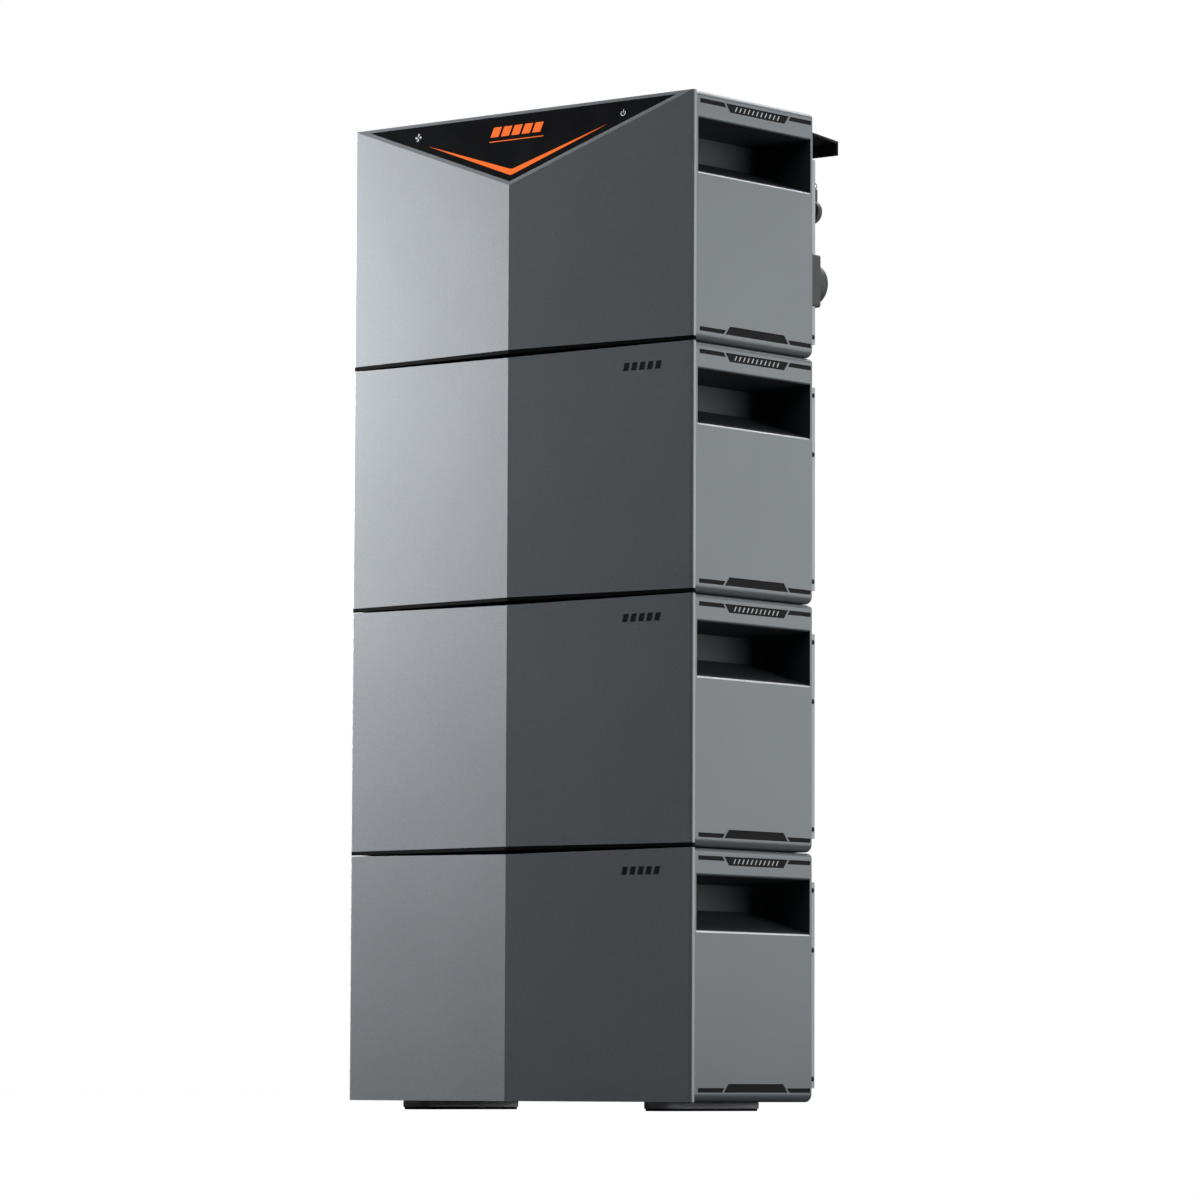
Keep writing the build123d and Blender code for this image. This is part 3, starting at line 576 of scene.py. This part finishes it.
# ---- Front covers of the batteries ----
# Each cover is a formed metal skin with two facets that meet in an upright ridge. It has a
# pale metallic silver grey coat. Its chamfered bottom rim, where it meets the module below, is
# coloured black as painted shade for the gap there, so the lowest cover has none.
cover_silver = powder_coat(
    "cover metallic coat", (0.42, 0.438, 0.455), (0.75, 0.77, 0.79), 0.8, 0.6, 0.6, 0.0013, 0.5
)
# Near-black material for the band along a cover's bottom rim: painted shade of the gap between modules.
seam_painted_shade = powder_coat(
    "painted shade at seam", (0.006, 0.006, 0.006), (0.03, 0.03, 0.03), 0.0, 0.8, 0.2, 0.0008, 0.1, sheen=0.1
)
lip_chamfer, lip_height = 0.0021, 0.0041
rim_slack, cut_slack = 0.0002, 0.0001


def cut_lip(form):
    """Chamfers a cover's outer bottom rim and marks the band along it for the black painted shade of the
    seam.
    """
    bottom = min(point.co.z for point in form.verts)
    rim = [
        line for line in form.edges
        if len(line.link_faces) == 2
        and max(end.co.z for end in line.verts) < bottom + rim_slack
        and any(abs(face.normal.z) < 0.2 and face.normal.y < -0.5 for face in line.link_faces)
    ]
    bmesh.ops.bevel(
        form, geom=rim, offset=lip_chamfer, offset_type="OFFSET", segments=1, profile=0.5,
        affect="EDGES", clamp_overlap=True, material=1,
    )
    every = form.verts[:] + form.edges[:] + form.faces[:]
    bmesh.ops.bisect_plane(
        form, geom=every, dist=0.00001, plane_co=(0, 0, bottom + lip_height), plane_no=(0, 0, 1)
    )
    for face in form.faces:
        highest = max(end.co.z for end in face.verts)
        face.material_index = int(highest < bottom + lip_height + cut_slack)


for module in battery_names:
    cover = softened(module + "_front_cover", cover_silver, 0.0005, turn=6.0, shape=cut_lip)
    # The rim band of each cover that sits on a module takes the painted shade; the lowest keeps the silver.
    cover.data.materials.append(cover_silver if module == battery_names[0] else seam_painted_shade)

# Five slanting bars are printed in black near the top right of each battery's front, as a
# plain sign for a battery.
badge_ink = printed_ink("black badge ink", (0.008, 0.008, 0.009))
bar_count, bar_pitch, bar_width, bar_slant = 5, 0.0105, 0.0066, 0.0022
badge_start, badge_foot, badge_head = 0.1535, 0.2456, 0.2544
for module in battery_names:
    low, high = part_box(module + "_front_cover")
    ridge = Vector((0, low.y, 0))
    corner = Vector((high.x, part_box(module + "_side_right")[0].y - cover_return, 0))
    along = (corner - ridge).normalized()
    outward = Vector((along.y, -along.x, 0))
    bars = slanting_bars(
        bar_count, badge_start, bar_pitch, bar_width, bar_slant, low.z + badge_foot, low.z + badge_head
    )
    badge = laid_shapes(
        module + "_badge", bars,
        lambda u, v, t: ridge + along * (u / along.x) + outward * (t - print_sink) + Vector((0, 0, v)),
        badge_ink, print_thick,
    )
    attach(badge, module)

# ---- Front cover of the head ----
# The head's cover has the same coat and is cut back to a triangular facet at the top, which
# holds the touch panel.
head_cover = softened("head_front_cover", cover_silver, 0.0005, turn=6.0, shape=cut_lip)
# The head's bottom rim band takes the same painted shade of the seam.
head_cover.data.materials.append(seam_painted_shade)

# ---- Touch panel ----
# A triangle of black glass is bonded into the facet. An orange chevron, five slanting bars
# over a thin rule, a fan sign and a switch sign are printed behind it.
panel_glass = bpy.data.materials.new("black touch glass")
panel_glass.use_nodes = True
glass_nodes, glass_links = panel_glass.node_tree.nodes, panel_glass.node_tree.links
glass_shader = glass_nodes["Principled BSDF"]
glass_shader.inputs["Specular IOR Level"].default_value = 0.4
glass_place = glass_nodes.new("ShaderNodeTexCoord")
glass_smear = glass_nodes.new("ShaderNodeTexNoise")
glass_smear.inputs["Scale"].default_value = 22.0
glass_smear.inputs["Detail"].default_value = 5.0
glass_gloss = glass_nodes.new("ShaderNodeMapRange")
glass_gloss.inputs["To Min"].default_value = 0.16
glass_gloss.inputs["To Max"].default_value = 0.34
glass_tone = glass_nodes.new("ShaderNodeMix")
glass_tone.data_type = "RGBA"
glass_tone.inputs[6].default_value = (0.008, 0.008, 0.0085, 1.0)
glass_tone.inputs[7].default_value = (0.016, 0.016, 0.0165, 1.0)
glass_links.new(glass_place.outputs["Object"], glass_smear.inputs["Vector"])
glass_links.new(glass_smear.outputs["Fac"], glass_gloss.inputs["Value"])
glass_links.new(glass_smear.outputs["Fac"], glass_tone.inputs["Factor"])
glass_links.new(glass_gloss.outputs[0], glass_shader.inputs["Roughness"])
glass_links.new(glass_tone.outputs[2], glass_shader.inputs["Base Color"])
softened("head_touch_panel", panel_glass, 0.0003)

facet_fall = 0.0855
facet_top = Vector((0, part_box("head_side_right")[0].y - cover_return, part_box("head_front_cover")[1].z))
facet_apex = Vector((0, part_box("head_front_cover")[0].y, facet_top.z - facet_fall))
facet_down = (facet_apex - facet_top).normalized()
facet_out = Vector((0, facet_down.z, -facet_down.y))


def on_facet(u, v, t):
    """A point u to the right of the middle and v below the top edge, lifted by t."""
    down = facet_down * (v / -facet_down.z)
    return facet_top + Vector((u, 0, 0)) + down + facet_out * (t - print_sink)


def turned_ring(middle_u, middle_v, inner, outer, start, stop, steps):
    """Outlines that together make part of a ring, as short slabs."""
    slabs = []
    for i in range(steps):
        a = math.radians(start + (stop - start) * i / steps)
        b = math.radians(start + (stop - start) * (i + 1) / steps)
        slabs.append(tuple(
            (middle_u + size * math.sin(turn), middle_v - size * math.cos(turn))
            for size, turn in ((inner, a), (outer, a), (outer, b), (inner, b))
        ))
    return slabs


def fan_sign(middle_u, middle_v, reach):
    """Four curved blades round a small hub."""
    blades = []
    for i in range(4):
        start = math.radians(90 * i)
        path = ((0.22, -10), (0.62, -34), (1.0, -8), (0.98, 24), (0.62, 16), (0.24, 26))
        blades.append(tuple(
            (middle_u + reach * far * math.sin(start + math.radians(turn)),
             middle_v - reach * far * math.cos(start + math.radians(turn)))
            for far, turn in path
        ))
    return blades


# The panel inks are given a painted glow, the orange one strongest.
orange_ink = printed_ink("orange panel ink", (1.0, 0.16, 0.01), 0.7)
white_ink = printed_ink("white panel ink", (0.85, 0.87, 0.87), 0.35)
chevron = [
    ((-0.130, 0.0281), (-0.0015, 0.0668), (0.0, 0.0668), (0.0, 0.0736), (-0.0015, 0.0736)),
    ((0.130, 0.0281), (0.0015, 0.0736), (0.0, 0.0736), (0.0, 0.0668), (0.0015, 0.0668)),
]
charge_bars = slanting_bars(
    bar_count, start=-0.0385, pitch=0.0151, width=0.0115, slant=0.0030, foot=0.0272, head=0.0158
)
charge_bars.append(((-0.039, 0.0320), (0.039, 0.0320), (0.039, 0.0330), (-0.039, 0.0330)))
sign_thick = 0.00012
switch_sign = turned_ring(0.150, 0.0177, inner=0.0025, outer=0.0034, start=48, stop=312, steps=14)
switch_sign.append(((0.1496, 0.0134), (0.1505, 0.0134), (0.1505, 0.0176), (0.1496, 0.0176)))
for name, outlines, ink in (
    ("panel_chevron", chevron, orange_ink),
    ("panel_charge_bars", charge_bars, orange_ink),
    ("panel_switch_sign", switch_sign, white_ink),
    ("panel_fan_sign", fan_sign(-0.147, 0.0164, 0.0046), white_ink),
):
    sign = laid_shapes(name, outlines, on_facet, ink, sign_thick)
    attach(sign, "head")

# ---- Top cover ----
# A folded steel plate closes the head from above. Its flange hangs down over the back, and it
# is coated in the same grey as the sides.
clad("head_top_cover", side_grey)

# ---- Rear covers ----
# A folded steel tray closes the back of each module. It is coated in a lighter grey than the
# sides, and the head's tray has slots for the fans.
rear_grey = powder_coat("light rear coat", (0.62, 0.64, 0.65), (0.75, 0.75, 0.75), 0.1, 0.5, 0.15, 0.0011)
for module in module_names:
    softened(module + "_rear_cover", rear_grey, 0.0006)

# On either side a short strip, bonded to the inside of the deck's flange, covers the gap that
# the drawn case leaves above the grip recess, all but a slit of about 1 mm along its foot.
flange_depth = 0.0021
strip_inner, strip_outer = 0.168, 0.2325
strip_foot, strip_head = 0.0375, 0.0225
strip_nip, strip_thick = 0.002, 0.0008
for module in battery_names:
    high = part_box(module + "_deck_plate")[1]
    flange_inside = high.y - flange_depth
    bottom, top = high.z - strip_foot, high.z - strip_head
    for hand, side in (("right", 1), ("left", -1)):
        inner, outer = side * strip_inner, side * strip_outer
        outline = (
            (inner, bottom + strip_nip), (inner + side * strip_nip, bottom), (outer, bottom),
            (outer, top - strip_nip), (outer - side * strip_nip, top), (inner, top),
        )
        strip = laid_shapes(
            f"{module}_closing_strip_{hand}", (outline,),
            lambda u, v, t: (u, flange_inside - t, v), dark_steel, strip_thick,
        )
        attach(strip, module)

# ---- Rear screws ----
# Black button-head screws with a hexagon socket go through the side folds of each rear
# cover. They stand where the drawn screws stand.
screw_black = powder_coat(
    "blackened screw steel", (0.02, 0.02, 0.022), (0.2, 0.2, 0.21), 0.6, 0.4, 0.2, 0.0005, 0.5
)


def screw_tree():
    """One button head with a hexagon socket at each point, turned to the point's facing."""
    tree = bpy.data.node_groups.new("button screws", "GeometryNodeTree")
    face = tree.interface
    face.new_socket(name="Geometry", in_out="INPUT", socket_type="NodeSocketGeometry")
    for label, start in (("Head Radius", 0.0028), ("Head Height", 0.0016), ("Socket Radius", 0.0013)):
        socket = face.new_socket(name=label, in_out="INPUT", socket_type="NodeSocketFloat")
        socket.default_value = start
    face.new_socket(name="Finish", in_out="INPUT", socket_type="NodeSocketMaterial")
    face.new_socket(name="Geometry", in_out="OUTPUT", socket_type="NodeSocketGeometry")
    nodes, links = tree.nodes, tree.links
    given = nodes.new("NodeGroupInput")
    out = nodes.new("NodeGroupOutput")
    crown = nodes.new("GeometryNodeMeshUVSphere")
    crown.inputs["Segments"].default_value = 24
    crown.inputs["Rings"].default_value = 12
    links.new(given.outputs["Head Radius"], crown.inputs["Radius"])
    ratio = nodes.new("ShaderNodeMath")
    ratio.operation = "DIVIDE"
    links.new(given.outputs["Head Height"], ratio.inputs[0])
    links.new(given.outputs["Head Radius"], ratio.inputs[1])
    squash = nodes.new("ShaderNodeCombineXYZ")
    squash.inputs[0].default_value = 1.0
    squash.inputs[1].default_value = 1.0
    links.new(ratio.outputs[0], squash.inputs[2])
    flatten = nodes.new("GeometryNodeTransform")
    links.new(crown.outputs["Mesh"], flatten.inputs["Geometry"])
    links.new(squash.outputs[0], flatten.inputs["Scale"])
    key = nodes.new("GeometryNodeMeshCylinder")
    key.inputs["Vertices"].default_value = 6
    links.new(given.outputs["Socket Radius"], key.inputs["Radius"])
    links.new(given.outputs["Head Height"], key.inputs["Depth"])
    raise_by = nodes.new("ShaderNodeCombineXYZ")
    links.new(given.outputs["Head Height"], raise_by.inputs[2])
    lift = nodes.new("GeometryNodeTransform")
    links.new(key.outputs["Mesh"], lift.inputs["Geometry"])
    links.new(raise_by.outputs[0], lift.inputs["Translation"])
    cut = nodes.new("GeometryNodeMeshBoolean")
    cut.operation = "DIFFERENCE"
    links.new(flatten.outputs[0], cut.inputs["Mesh 1"])
    links.new(lift.outputs[0], cut.inputs["Mesh 2"])
    facing = nodes.new("FunctionNodeAlignRotationToVector")
    facing.axis = "Z"
    away = nodes.new("GeometryNodeInputNamedAttribute")
    away.data_type = "FLOAT_VECTOR"
    away.inputs["Name"].default_value = "facing"
    links.new(away.outputs["Attribute"], facing.inputs["Vector"])
    spots = nodes.new("GeometryNodeInstanceOnPoints")
    links.new(given.outputs["Geometry"], spots.inputs["Points"])
    links.new(cut.outputs[0], spots.inputs["Instance"])
    links.new(facing.outputs[0], spots.inputs["Rotation"])
    real = nodes.new("GeometryNodeRealizeInstances")
    links.new(spots.outputs[0], real.inputs[0])
    coat = nodes.new("GeometryNodeSetMaterial")
    links.new(real.outputs[0], coat.inputs["Geometry"])
    links.new(given.outputs["Finish"], coat.inputs["Material"])
    links.new(coat.outputs[0], out.inputs[0])
    return tree


button_screws = screw_tree()


def grown(name, points, facings, tree, sizes, finish):
    """Runs a tree on a set of points and keeps the result as one plain mesh."""
    seeds = bpy.data.meshes.new(name + " points")
    seeds.from_pydata([tuple(point) for point in points], [], [])
    away = seeds.attributes.new("facing", "FLOAT_VECTOR", "POINT")
    for i, facing in enumerate(facings):
        away.data[i].vector = facing
    source = bpy.data.objects.new(name + "_points", seeds)
    bpy.context.scene.collection.objects.link(source)
    grow = source.modifiers.new(name, "NODES")
    grow.node_group = tree
    named = {item.name: item.identifier for item in tree.interface.items_tree if item.in_out == "INPUT"}
    for label, value in sizes.items():
        grow[named[label]] = value
    grow[named["Finish"]] = finish
    shown = source.evaluated_get(bpy.context.evaluated_depsgraph_get())
    mesh = bpy.data.meshes.new_from_object(shown)
    mesh.name = name
    bpy.data.objects.remove(source)
    mesh.shade_smooth()
    mesh.set_sharp_from_angle(angle=math.radians(35))
    piece = bpy.data.objects.new(name, mesh)
    bpy.context.scene.collection.objects.link(piece)
    return piece


head_radius, head_height, key_radius = 0.0028, 0.0016, 0.0012
middle_rise, tall_row = 0.1418, 0.1
screw_sizes = {"Head Radius": head_radius, "Head Height": head_height, "Socket Radius": key_radius}
for module in module_names:
    low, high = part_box(module + "_rear_screws")
    heights = [low.z + head_radius]
    if high.z - low.z > tall_row:
        heights += [low.z + head_radius + middle_rise, high.z - head_radius]
    middle_y = (low.y + high.y) / 2
    places = [(side * (high.x - head_height), middle_y, height) for side in (1, -1) for height in heights]
    facings = [(math.copysign(1.0, place[0]), 0.0, 0.0) for place in places]
    screws = grown(module + "_button_screws", places, facings, button_screws, screw_sizes, screw_black)
    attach(screws, module)
    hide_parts(module + "_rear_screws")

# ---- Fans ----
# Two axial fans in moulded black frames are screwed behind the slots of the head's rear
# cover, and blow out through them.
clad("head_fans", contact_black)

# ---- Outlet and its lid ----
# The outlet's moulded base wraps over the fold of the rear cover and has a round well for a
# mains plug. Its dished lid hinges on a steel pin above the well.
lid_grey = powder_coat(
    "moulded lid grey", (0.105, 0.112, 0.108), (0.2, 0.21, 0.2), 0.0, 0.55, 0.3, 0.0009, 0.3, sheen=0.3
)
pin_steel = drawn_metal("bright pin steel", (0.5, 0.5, 0.51), (0.7, 0.7, 0.71), 0.3, (0.1, 1.0, 1.0))
base_piece = softened("outlet_socket", lid_grey, 0.0004)
base_piece.data.materials.append(contact_black)
ear_depth, ear_drop = 0.0086, 0.003
ear_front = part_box("outlet_socket")[1].y - ear_depth
ear_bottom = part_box("hinge_pins")[0].z - ear_drop
for face in base_piece.data.polygons:
    if face.center.y > ear_front and face.center.z > ear_bottom:
        face.material_index = 1
softened("outlet_lid", lid_grey, 0.0003)
clad("hinge_pins", pin_steel)

# ---- Inlet and its cap ----
# A small round power connector, moulded in black, goes through the rear cover. A grey cap on a
# flat arm hangs over it from a steel pin.
softened("inlet_socket", contact_black, 0.0003)
softened("inlet_cap", lid_grey, 0.0003)

# ---- Wall bracket ----
# A strip of steel folded down at the back, coated matt black, screwed to the head's top
# flange and bolted to the wall.
bracket_black = powder_coat(
    "black bracket coat", (0.008, 0.008, 0.009), (0.05, 0.05, 0.05), 0.0, 0.6, 0.2, 0.001, 0.2, sheen=0.2
)
softened("wall_bracket", bracket_black, 0.0005)
